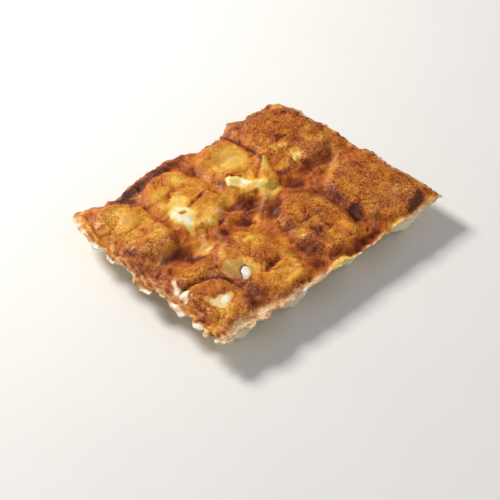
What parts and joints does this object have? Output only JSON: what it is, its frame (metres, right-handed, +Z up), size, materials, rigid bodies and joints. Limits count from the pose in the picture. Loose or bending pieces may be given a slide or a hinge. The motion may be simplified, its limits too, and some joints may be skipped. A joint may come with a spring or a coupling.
{
  "type": "jiaozi",
  "caption": "Slab of pan-fried jiaozi side by side in rows, joined by a thin crisp golden-brown skirt that lies over their flat sides and sinks between them.",
  "frame": {"origin": "under the middle of the slab's bounding box, on the surface that the pleated crests rest on", "axes": "+X along the two rows, +Y across the rows, +Z up, through the browned crust"},
  "size_m": [0.1692, 0.139, 0.0221],
  "materials": {
    "fried_crust": "crisp fried batter, golden to dark brown, slightly oily",
    "wrapper": "cooked wheat wrapper, moist and slightly translucent"
  },
  "bodies": {
    "root": {"crisp_skirt": "fried_crust", "jiaozi_far_1": "wrapper", "jiaozi_far_2": "wrapper", "jiaozi_far_3": "wrapper", "jiaozi_far_4": "wrapper", "jiaozi_near_1": "wrapper", "jiaozi_near_2": "wrapper", "jiaozi_near_3": "wrapper", "jiaozi_near_4": "wrapper"}
  },
  "joints": []
}
